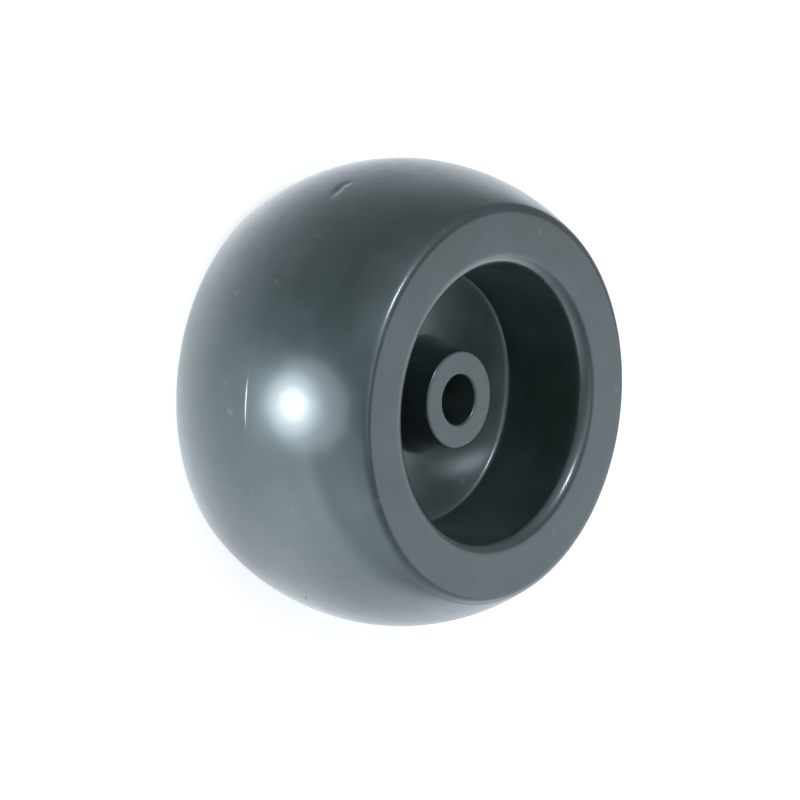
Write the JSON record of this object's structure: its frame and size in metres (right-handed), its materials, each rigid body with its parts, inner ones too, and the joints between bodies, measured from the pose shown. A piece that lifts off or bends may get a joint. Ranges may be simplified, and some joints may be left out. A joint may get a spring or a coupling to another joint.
{
  "type": "lawn mower wheel",
  "caption": "Solid moulded plastic mower deck wheel with a crowned tread, a recess at each end and a plain hub with a through bore.",
  "frame": {"origin": "wheel centre: on the bore axis, midway between the two flat end faces", "axes": "+Z along the bore axis; the wheel stands on its lower flat end face"},
  "size_m": [0.1272, 0.1272, 0.0684],
  "materials": {
    "moulded_plastic": "charcoal polyethylene as moulded, satin gloss, with handling scuffs and a fine parting line"
  },
  "bodies": {
    "root": {"wheel": "moulded_plastic"}
  },
  "joints": []
}
